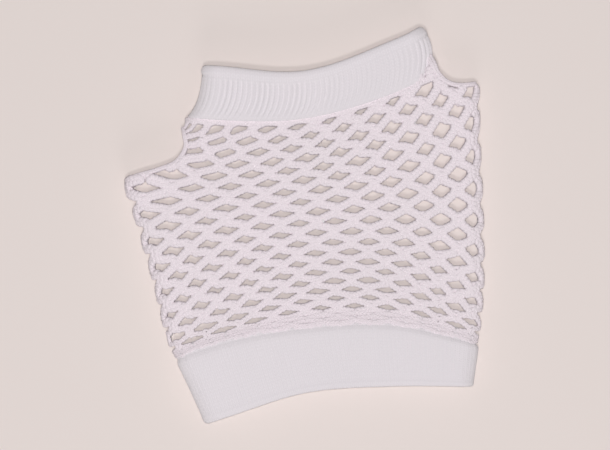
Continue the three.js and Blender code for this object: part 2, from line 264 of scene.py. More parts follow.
def inside(points, outline):
    """Which of the points, in metres, lie inside an outline in millimetres seen from above."""
    x = points[:, 0] / MM + CENTRE[0]
    y = points[:, 1] / MM + CENTRE[1]
    result = np.zeros(len(points), bool)
    for a, b in zip(outline, np.roll(outline, -1, 0)):
        crosses = (a[1] > y) != (b[1] > y)
        rise = b[1] - a[1] if b[1] != a[1] else 1.0
        result ^= crosses & (x < a[0] + (b[0] - a[0]) * (y - a[1]) / rise)
    return result


def slit_distance(points):
    """How far points lie from the nearest slit's edge, in millimetres, and 0 in its opening."""
    place = points[:, :2] / MM + np.array(CENTRE)
    edges = np.vstack([slit_outline(THUMB_EDGE), slit_outline(LITTLE_FINGER_EDGE)])
    distance = np.min(np.linalg.norm(place[:, None] - edges[None], axis=2), axis=1)
    return np.where(inside(points, THUMB_OPENING) | inside(points, LITTLE_FINGER_OPENING), 0.0, distance)


# Meshes


def quad_uvs(left, right, low, high):
    """The uv of each quad's four corners, in the order that the quads have."""
    left, right, low, high = np.broadcast_arrays(left, right, low, high)
    corners = [(left, low), (right, low), (right, high), (left, high)]
    return np.stack([np.stack(corner, -1) for corner in corners], 2).reshape(-1, 2)


def quad_object(name, verts, quads, uvs, caps=()):
    """A smooth-shaded mesh of quads, with one uv for each corner, and flat caps of any size."""
    mesh = bpy.data.meshes.new(name)
    sizes = [4] * len(quads) + [len(cap) for cap in caps]
    corners = np.concatenate([quads.ravel()] + [np.asarray(cap) for cap in caps]).astype(np.int32)
    cap_uvs = [np.zeros((len(cap), 2)) for cap in caps]
    mesh.vertices.add(len(verts))
    mesh.vertices.foreach_set("co", np.asarray(verts, np.float32).ravel())
    mesh.loops.add(len(corners))
    mesh.loops.foreach_set("vertex_index", corners)
    mesh.polygons.add(len(sizes))
    starts = np.concatenate([[0], np.cumsum(sizes)[:-1]]).astype(np.int32)
    mesh.polygons.foreach_set("loop_start", starts)
    layer = mesh.uv_layers.new(name="knit")
    layer.data.foreach_set("uv", np.concatenate([uvs] + cap_uvs).astype(np.float32).ravel())
    mesh.update(calc_edges=True)
    mesh.validate()
    mesh.shade_smooth()
    obj = bpy.data.objects.new(name, mesh)
    bpy.context.scene.collection.objects.link(obj)
    return obj


def shell_object(name, grid, stitch):
    """A knitted shell from a grid of points: closed profiles, set one after the other round the tube.

    stitch is the width and the height of one stitch, in millimetres.
    """
    around, profile = grid.shape[:2]
    i, k = np.arange(around)[:, None], np.arange(profile)[None, :]
    j, up = (i + 1) % around, (k + 1) % profile
    quads = np.stack([i * profile + k, j * profile + k, j * profile + up, i * profile + up], -1)
    gaps = np.linalg.norm(np.diff(grid, axis=1, append=grid[:, :1]), axis=2).mean(0) / MM
    v = np.concatenate([[0], np.cumsum(gaps)]) / stitch[1]
    girth = np.linalg.norm(np.roll(grid, -1, 0) - grid, axis=2)[:, 0].sum() / MM
    u = np.arange(around + 1) / around * round(girth / stitch[0])
    uvs = quad_uvs(u[:-1][:, None], u[1:][:, None], v[:-1][None], v[1:][None])
    return quad_object(name, grid.reshape(-1, 3), quads.reshape(-1, 4), uvs)


class Tubes:
    """Collects round tubes, each swept along its own centreline, for one joined mesh."""

    def __init__(self, sides):
        self.sides = sides
        self.verts, self.quads, self.uvs, self.caps = [], [], [], []
        self.count = 0

    def add(self, centre, normal, radius, closed=False):
        """Sweeps one tube, capped at its ends where it isn't closed."""
        sides, steps = self.sides, len(centre)
        if closed:
            tangent = np.roll(centre, -1, 0) - np.roll(centre, 1, 0)
        else:
            tangent = np.gradient(centre, axis=0)
        tangent /= np.linalg.norm(tangent, axis=1)[:, None]
        normal = normal - tangent * np.sum(normal * tangent, 1)[:, None]
        normal /= np.linalg.norm(normal, axis=1)[:, None]
        side = np.cross(tangent, normal)
        turn = np.arange(sides) * 2 * math.pi / sides
        ring = np.cos(turn)[None, :, None] * normal[:, None] + np.sin(turn)[None, :, None] * side[:, None]
        radius = np.broadcast_to(np.asarray(radius, float), (steps,))
        self.verts.append((centre[:, None] + ring * radius[:, None, None]).reshape(-1, 3))
        rows = steps if closed else steps - 1
        i, k = np.arange(rows)[:, None], np.arange(sides)[None, :]
        j, up = (i + 1) % steps, (k + 1) % sides
        quads = np.stack([i * sides + k, i * sides + up, j * sides + up, j * sides + k], -1) + self.count
        self.quads.append(quads.reshape(-1, 4))
        gaps = np.linalg.norm(np.diff(centre, axis=0, append=centre[:1]), axis=1)
        length = np.concatenate([[0], np.cumsum(gaps)]) / MM
        low, high = length[:rows][:, None], length[1:rows + 1][:, None]
        self.uvs.append(quad_uvs(k / sides, (k + 1) / sides, low, high))
        if not closed:
            ring_order = np.arange(sides)
            self.caps += [ring_order[::-1] + self.count, ring_order + (steps - 1) * sides + self.count]
        self.count += steps * sides

    def to_object(self, name):
        """All the tubes as one object."""
        return quad_object(name, np.vstack(self.verts), np.vstack(self.quads), np.vstack(self.uvs), self.caps)


# Cords

# Sides of the net's tubes, and of the thicker yarns
NET_SIDES = 6
YARN_SIDES = 8

# A cord's plies: their number, the length of one braid, their share of the cord's half width and how far they
# lift. Then the steps of each braid, the fewest steps, the shortest cord, and the turn from cord to cord
PLIES = 3
BRAID_PITCH = 3.4
PLY_SHARE = 0.46
CORD_DEPTH_SHARE = 0.24
STEPS_PER_PITCH = 11
FEWEST_STEPS = 4
SHORTEST_CORD = 1.2
CORD_PHASE_STEP = 1.7

# Across the glove: the cords' half width, their distance from a node's middle, and the share of a
# course that they run side by side at a node
CORD_X = (-50.0, -35.0, 0.0, 25.0, 40.0, 54.0)
CORD_HALF_WIDTH = (1.54, 1.50, 1.40, 1.45, 1.54, 1.44)
NODE_SPREAD = (0.64, 0.60, 0.38, 0.60, 0.92, 0.90)
NODE_LENGTH = (0.35, 0.34, 0.31, 0.30, 0.28, 0.28)

# The most that a cord's half width takes of a course's height, and a node's spread of a cord's half width
CORD_CROWDING = 0.465
SPREAD_LIMIT = 0.62

# A cord's bends: how soft they are and how far that reaches, in courses, how much of each run between them is
# bowed, and the points of the cord's path for each course
BEND_SOFTNESS = 0.035
BLUR_REACH = 3 * BEND_SOFTNESS
BEND_SHARE = 0.5
COURSE_STEPS = 40

# Where the courses slope, a cord's swings slant with them: how strongly, at most how far, in courses, and
# the courses over which that fades out
SLANT_SHARE = 1.6
MOST_SLANT = 0.13
SLANT_FADE = (9.0, 12.0)

# How uneven the knit is, in courses and in columns, and its waves: rates across and along, and a phase
COURSE_DRIFT = 0.014
COLUMN_SWAY = 0.030
DRIFT_WAVES = ((0.7, 2.3, 0.7), (-0.6, 2.9, 2.1))
SWAY_WAVES = ((2.3, -0.9, 1.9), (1.2, 2.9, 0.4))

# A cord's ends, counted in courses. Past CROWDED_FROM the courses crowd above the cuff, each a share of a
# usual one, and the cords get thinner, draw together and at last dive into the cuff
NET_TOP = -7.15
NET_BOTTOM = 17.0
CROWDED_FROM = 12.4
CROWDED_STEP = 0.38
THINNING_PAST_CROWDED = (0.4, 1.8)
SUNK_WIDTH = 0.6
SUNK_SPREAD = 0.5
END_DIVE = 0.7
DIVE_COURSES = 0.4

# How near the cords and the loops come to a slit's edge, how far from it the cords start to get thinner, and
# their least share of their width
SLIT_CLEARANCE = 0.95
LOOP_CLEARANCE = 1.6
SLIT_THINNING = 2.2
THINNEST_AT_SLIT = 0.5

# The loops that lace the cords together, in the cords' half widths: how far they reach up and down, and aside
# at the head, the foot and the waist. Then how thick and how round they are, their steps and their courses
LOOP_TOP = 1.25
LOOP_FOOT = 1.25
CROWDED_FOOT = 0.3
HEAD_SPREAD = 1.5
FOOT_SPREAD = 0.5
WAIST_SPREAD = 1.1
WAIST_AT = 0.2
LOOP_THICKNESS = 0.40
LOOP_ROUND = 0.8
LOOP_STEPS = 20
FIRST_LOOP_COURSE = -7
LAST_LOOP_COURSE = 12

# How many columns the net is drawn in from the thumb's fold, for columns counted from the glove's middle:
# next to the band, where more columns meet the fold, and below the thumb, with the share of each by course
DRAWN_COLUMNS = (-12, -10, -8, -7, -6, -5, -4, -2, 0, 3)
DRAWN_AT_BAND = (4.0, 2.84, 1.61, 1.18, 0.82, 0.50, 0.28, 0.08, 0.0, 0.0)
DRAWN_BELOW_THUMB = (0.0, 0.0, 0.0, 0.30, 0.55, 0.60, 0.52, 0.35, 0.20, 0.0)
DRAWN_COURSES = (-6, -5, -4, -3, -2, -1, 0, 1, 2)
SHARE_AT_BAND = (1.0, 0.6, 0.2, 0.0, 0.0, 0.0, 0.0, 0.0, 0.0)
SHARE_BELOW_THUMB = (0.0, 0.3, 0.7, 1.0, 1.0, 0.8, 0.4, 0.15, 0.0)
CROTCH_COLUMNS = 4
CROTCH_LAST_COURSE = -4.6

# The least and the most room that a drawn column has, and how its cords' width follows its room
LEAST_ROOM = 0.25
MOST_ROOM = 1.25
ROOM_POWER = 1.1

# How far the cords go on under the band, in courses, and how far inside the fold the loops stay, in columns
UNDER_BAND = 0.1
LOOP_INSIDE_FOLD = 0.1

# The chain that joins the net to the band: its course and that course's slow wave, the points of its path,
# its half width and braid, and how far it goes on past the band's right edge
JOIN_COURSE = -6.48
JOIN_WAVE = 0.02
JOIN_WAVE_RATE = 3.1
JOIN_STEPS = 440
JOIN_HALF_WIDTH = 1.05
JOIN_PITCH = 2.9
JOIN_PHASE = 0.9
JOIN_PAST_BAND = 1.5

# The drawn yarns round the slits: their half width and braid, how far they lean out of the cut edge, how much
# their ends widen at the band, and over what share of their length
SLIT_YARN_HALF_WIDTH = 0.74
SLIT_YARN_PLY_SHARE = 0.56
SLIT_YARN_PITCH = 2.2
SLIT_YARN_PHASE = 0.4
SLIT_YARN_LEAN = 0.5
SLIT_YARN_WIDENING = 0.7
WIDENING_REACH = 0.13

# Where the little finger slit's yarn goes into the band, above and below, and how many of its points it loses
INTO_BAND = ((36.2, 49.2, 6.4), (36.2, 49.2, 2.6))
POINTS_IN_BAND = 4

# The courses between which a place on a layer is sought, in halving steps, and how near a fold it may be
SEARCH_COURSES = (-8.0, 15.0)
SEARCH_STEPS = 30
FOLD_MARGIN = 0.05


def drawn_in(columns, course):
    """Column numbers where the net is drawn in beside the thumb."""
    counted = np.clip(columns, DRAWN_COLUMNS[0], DRAWN_COLUMNS[-1])
    at_band = smooth(DRAWN_COLUMNS, DRAWN_AT_BAND, counted)
    below = smooth(DRAWN_COLUMNS, DRAWN_BELOW_THUMB, counted)
    share_at_band = np.interp(course, DRAWN_COURSES, SHARE_AT_BAND)
    share_below = np.interp(course, DRAWN_COURSES, SHARE_BELOW_THUMB)
    return columns + share_at_band * at_band + share_below * below


def column_room(columns, course):
    """A column's width there as a share of its usual width, and how much thinner its cords are drawn."""
    room = drawn_in(columns + 0.5, course) - drawn_in(columns - 0.5, course)
    room = np.maximum(room, LEAST_ROOM)
    return room, np.minimum(room, MOST_ROOM) ** ROOM_POWER


def folded(columns, upper):
    """Column numbers past a fold go on to the other layer."""
    past_first, past_last = columns < FIRST_COLUMN, columns > LAST_COLUMN
    turned = np.where(past_last, 2 * LAST_COLUMN - columns, columns)
    turned = np.where(past_first, 2 * FIRST_COLUMN - columns, turned)
    return turned, np.where(past_first | past_last, 1 - upper, upper)


def rise_to_cuff(course):
    """The flattened tube's height and crown, which grow past the last open course."""
    share = np.clip((course - CROWDED_FROM) / (COURSES[-1][0] - CROWDED_FROM), 0, 1)
    height = NET_HEIGHT + (CUFF_TOP_HEIGHT - NET_HEIGHT) * share
    return height, NET_CROWN + (CUFF_CROWN - NET_CROWN) * share


def uneven(columns, course, waves):
    """How far a place in the knit wanders, as a sum of slow waves."""
    return sum(np.sin(across * columns + along * course + phase) for across, along, phase in waves)


def net_path(columns, course, upper):
    """Points in the middle of the net's wall, and the directions out of it, slightly uneven as knits are."""
    drift = uneven(columns, course, DRIFT_WAVES)
    sway = uneven(columns, course, SWAY_WAVES)
    course = course + COURSE_DRIFT * drift
    columns, upper = folded(drawn_in(columns, course) + COLUMN_SWAY * sway, upper)
    height, crown = rise_to_cuff(course)
    dive = END_DIVE * np.clip((course - CUFF_START_COURSE) / DIVE_COURSES, 0, 1)
    path = net_point(columns, course, upper, NET_WALL / 2 + dive, height, crown)
    outer = net_point(columns, course, upper, 0.0, height, crown)
    return path, outer - net_point(columns, course, upper, NET_WALL, height, crown)


def resampled(path, normals, steps, closed=False):
    """A path with even steps, its outward and sideways directions, and its length up to each point."""
    if closed:
        path, normals = np.vstack([path, path[:1]]), np.vstack([normals, normals[:1]])
    gaps = np.linalg.norm(np.diff(path, axis=0), axis=1)
    length = np.concatenate([[0], np.cumsum(gaps)])
    at = np.linspace(0, length[-1], steps, endpoint=not closed)
    fine = np.stack([np.interp(at, length, path[:, k]) for k in range(3)], -1)
    out = np.stack([np.interp(at, length, normals[:, k]) for k in range(3)], -1)
    tangent = np.gradient(fine, axis=0)
    tangent /= np.linalg.norm(tangent, axis=1)[:, None]
    out = out - tangent * np.sum(out * tangent, 1)[:, None]
    out /= np.linalg.norm(out, axis=1)[:, None]
    return fine, out, np.cross(out, tangent), at


def braid(tubes, path, normals, half_width, phase, ply_share=PLY_SHARE, pitch=BRAID_PITCH):
    """A flat braid of plies along a path, as a column of chain stitches looks."""
    total = np.linalg.norm(np.diff(path, axis=0), axis=1).sum()
    if total < SHORTEST_CORD * MM:
        return
    pitch = pitch * MM
    steps = max(FEWEST_STEPS, int(round(total / pitch * STEPS_PER_PITCH)))
    fine, out, side, at = resampled(path, normals, steps)
    width = np.interp(np.linspace(0, 1, steps), np.linspace(0, 1, len(half_width)), half_width) * MM
    for ply in range(PLIES):
        angle = 2 * math.pi * (at / pitch + ply / PLIES) + phase
        aside = width * (1 - ply_share) * np.sin(angle)
        lift = width * CORD_DEPTH_SHARE * np.sin(2 * angle)
        tubes.add(fine + side * aside[:, None] + out * lift[:, None], out, width * ply_share)


def cord_width(x, course):
    """A cord's half width, and how far its middle stays from the middle of a node."""
    width = np.interp(x, CORD_X, CORD_HALF_WIDTH)
    width = np.minimum(width, CORD_CROWDING * course_height(x, course))
    return width, np.minimum(np.interp(x, CORD_X, NODE_SPREAD), SPREAD_LIMIT * width)


def wale_swing(place, i, side_by_side):
    """How far a wale has swung at each place, from -1 at its left column line to 1 at its right one.

    It meets its two neighbours in turn, each once in two courses.
    """
    turn = np.mod(place - i, 2)
    swing = np.clip((1 - 2 * np.minimum(turn, 2 - turn)) / (1 - 2 * side_by_side), -1, 1)
    swing = (1 - BEND_SHARE) * swing + BEND_SHARE * np.arcsin(swing) * 2 / math.pi
    reach = np.arange(-BLUR_REACH, BLUR_REACH, 1 / COURSE_STEPS)
    blur = np.exp(-0.5 * (reach / BEND_SOFTNESS) ** 2)
    padded = np.pad(swing, len(blur) // 2, mode="edge")
    return np.convolve(padded, blur / blur.sum(), mode="valid")[:len(place)]


def wale_path(i, upper):
    """One wale of the net between column lines i and i + 1.

    Gives its points, their outward directions and half widths, and which of them are shown.
    """
    place = np.linspace(NET_TOP, NET_BOTTOM, int((NET_BOTTOM - NET_TOP) * COURSE_STEPS) + 1)
    crowded = CROWDED_FROM + (place - CROWDED_FROM) * CROWDED_STEP
    course = np.where(place > CROWDED_FROM, crowded, place)
    middle = np.full_like(place, i + 0.5)
    on_layer = np.maximum(drawn_in(middle, course), FIRST_COLUMN)
    x = net_point(on_layer, course, upper, NET_WALL / 2)[:, 0] / MM
    swing = wale_swing(place, i, np.interp(x, CORD_X, NODE_LENGTH))
    width, spread = cord_width(x, course)
    room, thinner = column_room(middle, course)
    thinning = [CROWDED_FROM + past for past in THINNING_PAST_CROWDED]
    width = width * thinner * np.interp(place, thinning, (1.0, SUNK_WIDTH))
    spread = spread * thinner * np.interp(place, thinning, (1.0, SUNK_SPREAD))
    pitch = column_pitch(course)
    columns = i + 0.5 + swing * (0.5 - spread / pitch / room)
    aside = pitch * room / 2 - spread
    slant = -SLANT_SHARE * course_slope(x, course) * swing * aside / course_height(x, course)
    slant = np.clip(slant, -MOST_SLANT, MOST_SLANT) * np.interp(place, SLANT_FADE, (1.0, 0.0))
    path, normals = net_path(columns, course + slant, upper)
    hidden = (course < BAND_END_COURSE - UNDER_BAND) & (x < BAND_ROOT_RIGHT)
    if i < FIRST_COLUMN:
        hidden |= (drawn_in(columns, course) < FIRST_COLUMN) | (course > CROTCH_LAST_COURSE)
    return path, normals, width, ~hidden


def kept_runs(keep):
    """The stretches of a mask that are true, as slices."""
    edges = np.flatnonzero(np.diff(np.concatenate([[0], keep.astype(int), [0]])))
    return [slice(a, b) for a, b in zip(edges[::2], edges[1::2])]


def loop_is_hidden(column, course, x):
    """Whether a node lies under the band, or past the fold beside the thumb."""
    under_band = course < BAND_END_COURSE and x < BAND_ROOT_RIGHT
    past_fold = course > CROTCH_LAST_COURSE or drawn_in(column, course) < FIRST_COLUMN + LOOP_INSIDE_FOLD
    return under_band or (column < FIRST_COLUMN and past_fold)


def node_loop(tubes, column, course, upper):
    """A loop of yarn that laces two wales together where they meet."""
    middle, _ = net_path(column, course, upper)
    x = middle[0] / MM
    if loop_is_hidden(column, course, x):
        return
    height = course_height(x, course)
    room, thinner = column_room(column, course)
    width, spread = [value * thinner for value in cord_width(x, course)]
    turn = np.arange(LOOP_STEPS) * 2 * math.pi / LOOP_STEPS
    down, across = np.cos(turn), np.sin(turn)
    across = np.sign(across) * np.abs(across) ** LOOP_ROUND
    reaches = (FOOT_SPREAD * width, WAIST_SPREAD * spread, HEAD_SPREAD * width)
    reach = np.interp(-down, (-1, WAIST_AT, 1), reaches)
    columns = column + reach / column_pitch(course) / room * across
    level = course_slope(x, course) * reach * across / height
    foot = LOOP_FOOT if course < CROWDED_FROM else CROWDED_FOOT
    courses = course + (np.where(down > 0, foot, LOOP_TOP) * width / height * down + level)
    path, normals = net_path(columns, courses, upper)
    if slit_distance(path).min() < LOOP_CLEARANCE:
        return
    fine, out, _, _ = resampled(path, normals, LOOP_STEPS, closed=True)
    tubes.add(fine, out, LOOP_THICKNESS * width * MM, closed=True)


def net_cords(name, first, last, upper):
    """A quarter of the net: the cords and loops of one layer between two column lines."""
    tubes = Tubes(NET_SIDES)
    start = first - CROTCH_COLUMNS if first == FIRST_COLUMN else first
    for i in range(start, last):
        path, normals, width, shown = wale_path(i, upper)
        distance = slit_distance(path)
        width = width * np.clip(distance / SLIT_THINNING, THINNEST_AT_SLIT, 1.0)
        for run in kept_runs(shown & (distance > SLIT_CLEARANCE)):
            braid(tubes, path[run], normals[run], width[run], phase=CORD_PHASE_STEP * i)
    for column in range(start, last):
        for course in range(FIRST_LOOP_COURSE, LAST_LOOP_COURSE + 1):
            if (column + course) % 2:
                node_loop(tubes, column, course, upper)
    return tubes.to_object(name)


def joining_chain(name):
    """The linked course between the band and the net, from the band's right side round the left fold."""
    columns = np.linspace(LAST_COLUMN, FIRST_COLUMN - CROTCH_COLUMNS, JOIN_STEPS)
    course = JOIN_COURSE + JOIN_WAVE * np.sin(JOIN_WAVE_RATE * columns)
    over, over_normals = net_path(columns, course, 1.0)
    under, under_normals = net_path(columns[::-1], course[::-1], 0.0)
    keep = over[:, 0] / MM + CENTRE[0] < BAND_ROOT_RIGHT + JOIN_PAST_BAND
    path = np.vstack([over[keep], under[keep[::-1]]])
    normals = np.vstack([over_normals[keep], under_normals[keep[::-1]]])
    width = np.full(len(path), JOIN_HALF_WIDTH)
    tubes = Tubes(YARN_SIDES)
    braid(tubes, path, normals, width, phase=JOIN_PHASE, pitch=JOIN_PITCH)
    return tubes.to_object(name)


def on_net_layer(x, y, upper):
    """Points in the middle of the net's wall at x and y, and their outward directions.

    Also gives which of the places are on the net, because the others are left out.
    """
    low, high = (np.full(x.shape, course) for course in SEARCH_COURSES)
    for _ in range(SEARCH_STEPS):
        middle = (low + high) / 2
        above = line_height(course_line(middle)[-1], x) > y
        low, high = np.where(above, middle, low), np.where(above, high, middle)
    left, right, _, _ = course_line(low)
    keep = (x > left + FOLD_MARGIN) & (x < right - FOLD_MARGIN)
    x, y, left, right = x[keep], y[keep], left[keep], right[keep]
    fold = NET_HEIGHT / 2
    arc, run = math.pi * fold / 2, right - left - 2 * fold
    first = np.arccos(np.clip((left + fold - x) / fold, 0, 1)) * fold
    last = arc + run + np.arcsin(np.clip((x - right + fold) / fold, 0, 1)) * fold
    distance = np.where(x > right - fold, last, arc + x - left - fold)
    distance = np.where(x < left + fold, first, distance)
    along = distance / (run + 2 * arc)
    faces = []
    for inset in (NET_WALL / 2, 0.0, NET_WALL):
        face_x, face_z, _ = section(left, right, NET_HEIGHT, NET_CROWN, along, upper, inset)
        faces.append(in_metres(face_x, y, face_z))
    middle, outer, inner = faces
    return middle, outer - inner, keep


def slit_yarn(name, edge, into=()):
    """The drawn yarn round a slit, over the top layer, round the fold and back underneath.

    Its ends meet, or go into the band at the points given.
    """
    outline = slit_outline(edge)
    if into:
        outline = outline[POINTS_IN_BAND:]
    along = np.gradient(outline, axis=0)
    openward = np.stack([-along[:, 1], along[:, 0], 0 * along[:, 0]], -1)
    openward /= np.linalg.norm(openward, axis=1)[:, None]
    outline = outline - SLIT_YARN_HALF_WIDTH * openward[:, :2]
    top, top_out, kept = on_net_layer(outline[:, 0], outline[:, 1], 1.0)
    under, under_out, _ = on_net_layer(outline[:, 0], outline[:, 1], 0.0)
    lean = SLIT_YARN_LEAN * NET_WALL * MM * openward[kept]
    path = np.vstack([top, under[::-1], top[:1]])
    normals = np.vstack([top_out + lean, (under_out + lean)[::-1], top_out[:1] + lean[:1]])
    if into:
        ends = in_metres(*np.array(into).T)
        path = np.vstack([ends[:1], path[:-1], ends[1:]])
        normals = np.vstack([normals[:1], normals[:-1], normals[-2:-1]])
    width = np.full(len(path), SLIT_YARN_HALF_WIDTH)
    if into:
        share = np.linspace(0, 1, len(path))
        from_end = np.minimum(share, 1 - share)
        width = width + SLIT_YARN_WIDENING * np.exp(-(from_end / WIDENING_REACH) ** 2)
    tubes = Tubes(YARN_SIDES)
    braid(tubes, path, normals, width, SLIT_YARN_PHASE, SLIT_YARN_PLY_SHARE, SLIT_YARN_PITCH)
    return tubes.to_object(name)


# Knitted shells

# Steps round each shell's rim, and the width and height of the stitches, in millimetres
RIM_STEPS = 3
BAND_STITCH = (1.45, 0.95)
CUFF_STITCH = (1.33, 0.9)

# The band: its ribs round the tube, the steps of each, the rows of its outside and inside, and how far its
# rim is rounded past its edge, as a share of its length
BAND_RIBS = 94
STEPS_PER_RIB = 8
BAND_ROWS = 34
BAND_INNER_ROWS = 6
BAND_ROUNDING = 0.045

# How deep the band's ribs are, how square, and their share from fold to fold and from the net to the rim
RIB_DEPTH = 0.13
RIB_SQUARE = 0.6
RIB_ALONG = (0.0, 0.09, 0.14, 0.50, 0.66, 0.86, 0.92, 1.0)
RIB_STRENGTH = (0.5, 0.6, 1.4, 1.3, 0.7, 0.7, 1.3, 1.1)
RIB_LEVELS = (0, 0.10, 0.20, 0.77, 0.82, 1)
RIB_SHARE = (0.1, 0.4, 1, 1, 0, 0)

# The band's reliefs: how deep and how long the two dips at its root are, and for its turned rim's swell and
# the crease under it, their place, width and depth
ROOT_DIP, ROOT_DIP_LENGTH = 0.22, 0.14
SEAM_DIP, SEAM_DIP_LENGTH = 0.35, 0.02
RIM_AT, RIM_WIDTH, RIM_SWELL = 0.93, 0.05, 0.30
CREASE_AT, CREASE_WIDTH, CREASE_DEPTH = 0.85, 0.018, 0.22

# The cuff: its wales, the steps of each, its rows, its rounding and the grooves between its wales
CUFF_WALES = 132
STEPS_PER_WALE = 4
CUFF_ROWS = 46
CUFF_INNER_ROWS = 8
CUFF_ROUNDING = 0.035
WALE_GROOVE = 0.05
WALE_LEVELS = (0, 0.06, 0.12, 0.9, 0.94, 1)
WALE_SHARE = (1, 1, 1, 1, 0, 0)

# The step down from the cuff's hem, and how the cuff sinks and pleats at its root
HEM_STEP = 0.07
HEM_LEVELS = (0, 0.915, 0.945, 1)
HEM_SHARE = (0, 0, 1, 1)
CUFF_PLEAT, CUFF_PLEAT_LENGTH = 0.10, 0.10
CUFF_DIP, CUFF_DIP_LENGTH = 0.95, 0.075

# The soft pleats of the joining courses, and how unevenly they are spaced
PLEATS = 62
PLEAT_WANDER = 1.3
PLEAT_WANDER_WAVES = 7
PLEAT_DEPTH = 0.14

# The joining courses' shell: its steps, rows and wall, where it begins and ends, its uneven end, its
# rounding, how deep its outside lies under the net's and how much deeper its inside lies
STEPS_PER_PLEAT = 12
GATHER_ROWS = 20
GATHER_INNER_ROWS = 4
GATHER_WALL = 1.0
GATHER_START_COURSE = 14.3
GATHER_END_COURSE = 12.45
GATHER_END_WAVE = 0.15
GATHER_ROUNDING = 0.06
GATHER_LEVELS = (0, 0.25, 0.5, 0.75, 1.0)
GATHER_SUNK = (1.0, 0.85, 0.95, 1.0, 1.1)
GATHER_INNER_SUNK = 0.6


def stations(count):
    """Places once round a flattened tube: along, and whether on the upper layer."""
    half = count // 2
    along = np.concatenate([np.arange(half) / half, 1 - np.arange(half) / half])
    upper = np.concatenate([np.ones(half), np.zeros(half)])
    return along[:, None], upper[:, None]


def profile_levels(rows, inner_rows, wall):
    """Rows once round a wall's section, up the outside, over the rim and down the inside.

    Gives their level, their inset, how far the rim bulges past its edge, and 1 for the outside's rows.
    """
    turn = np.linspace(0, math.pi, RIM_STEPS + 2)[1:-1]
    rim_inset = wall / 2 * (1 - np.cos(turn))
    level = np.concatenate([np.linspace(0, 1, rows), np.ones(RIM_STEPS), np.linspace(1, 0, inner_rows)])
    inset = np.concatenate([np.zeros(rows), rim_inset, np.full(inner_rows, wall)])
    past = np.concatenate([np.zeros(rows), np.sin(turn), np.zeros(inner_rows)])
    outer = np.concatenate([np.ones(rows), np.zeros(RIM_STEPS + inner_rows)])
    return level[None], inset[None], past[None], outer[None]


def ribs(count, places):
    """A wave of ribs once round a tube, from 1 on a rib to -1 between two."""
    return np.cos(2 * math.pi * count * np.arange(places) / places)[:, None]


def pleats(places):
    """A wave of uneven pleats once round a tube, from 1 on a pleat to -1 between two."""
    turn = 2 * math.pi * np.arange(places) / places
    return np.sin(PLEATS * turn + PLEAT_WANDER * np.sin(PLEAT_WANDER_WAVES * turn))[:, None]


def bell(level, middle, width):
    """A soft bump of height 1 at a level."""
    return np.exp(-((level - middle) / width) ** 2)


def finger_band(name):
    """The ribbed band round the fingers, with its turned rim."""
    along, upper = stations(BAND_RIBS * STEPS_PER_RIB)
    level, inset, past, outer = profile_levels(BAND_ROWS, BAND_INNER_ROWS, BAND_WALL)
    rib = ribs(BAND_RIBS, len(along))
    fade = smooth(RIB_LEVELS, RIB_SHARE, level) * smooth(RIB_ALONG, RIB_STRENGTH, along)
    groove = RIB_DEPTH * (1 - np.sign(rib) * np.abs(rib) ** RIB_SQUARE) * fade * outer
    dips = ROOT_DIP * np.exp(-level / ROOT_DIP_LENGTH) + SEAM_DIP * np.exp(-level / SEAM_DIP_LENGTH)
    rim = bell(level, RIM_AT, RIM_WIDTH) * -RIM_SWELL * outer
    rim = rim + bell(level, CREASE_AT, CREASE_WIDTH) * CREASE_DEPTH * outer
    depth = inset + (groove + dips * outer) + rim * upper
    level = level + past * BAND_ROUNDING
    grid = shell_point(BAND_ROOT, BAND_MOUTH, level, along, upper, depth, BAND_CROWN)
    return shell_object(name, grid[:, ::-1], BAND_STITCH)


def wrist_cuff(name):
    """The plain cuff, with its hem, let into the joining courses at its root."""
    along, upper = stations(CUFF_WALES * STEPS_PER_WALE)
    level, inset, past, outer = profile_levels(CUFF_ROWS, CUFF_INNER_ROWS, CUFF_WALL)
    groove = WALE_GROOVE * (1 - ribs(CUFF_WALES, len(along))) * smooth(WALE_LEVELS, WALE_SHARE, level) * outer
    hem = (1 - smooth(HEM_LEVELS, HEM_SHARE, level)) * HEM_STEP * outer * upper
    pleating = CUFF_PLEAT * (1 - pleats(len(along))) * np.exp(-level / CUFF_PLEAT_LENGTH)
    sinking = CUFF_DIP * np.exp(-(level / CUFF_DIP_LENGTH) ** 2)
    depth = inset + groove + hem + (pleating + sinking) * outer
    level = level + past * CUFF_ROUNDING
    grid = shell_point(CUFF_ROOT, CUFF_MOUTH, level, along, upper, depth, CUFF_CROWN)
    return shell_object(name, grid, CUFF_STITCH)


def cuff_gather(name):
    """The joining courses: soft pleats that the net's crowded cords sink into, let into the cuff below."""
    along, upper = stations(PLEATS * STEPS_PER_PLEAT)
    level, inset, past, outer = profile_levels(GATHER_ROWS, GATHER_INNER_ROWS, GATHER_WALL)
    wave = pleats(len(along))
    sunk = smooth(GATHER_LEVELS, GATHER_SUNK, level) + PLEAT_DEPTH * (1 - wave) * np.sin(math.pi * level)
    depth = inset + sunk * outer + GATHER_INNER_SUNK * (1 - outer)
    length = GATHER_START_COURSE - GATHER_END_COURSE - GATHER_END_WAVE * wave
    course = GATHER_START_COURSE - level * length - past * GATHER_ROUNDING
    columns = FIRST_COLUMN + along * (LAST_COLUMN - FIRST_COLUMN)
    height, crown = rise_to_cuff(course)
    grid = net_point(columns, course, upper, depth, height, crown)
    return shell_object(name, grid[:, ::-1], CUFF_STITCH)


# Materials

# The colour sockets of a node that mixes two colours
MIX_A, MIX_B, MIX_RESULT = 6, 7, 2

# Slow patches of colour over the cloth, the painted shade in its grooves, and how it scatters light
PATCH_SCALE = 60.0
NOISE_DETAIL = 3.0
GROOVE_PAINTED_SHADE = (0.80, 0.78, 0.79, 1.0)
DIFFUSE_ROUGHNESS = 0.2
SHEEN_ROUGHNESS = 0.6

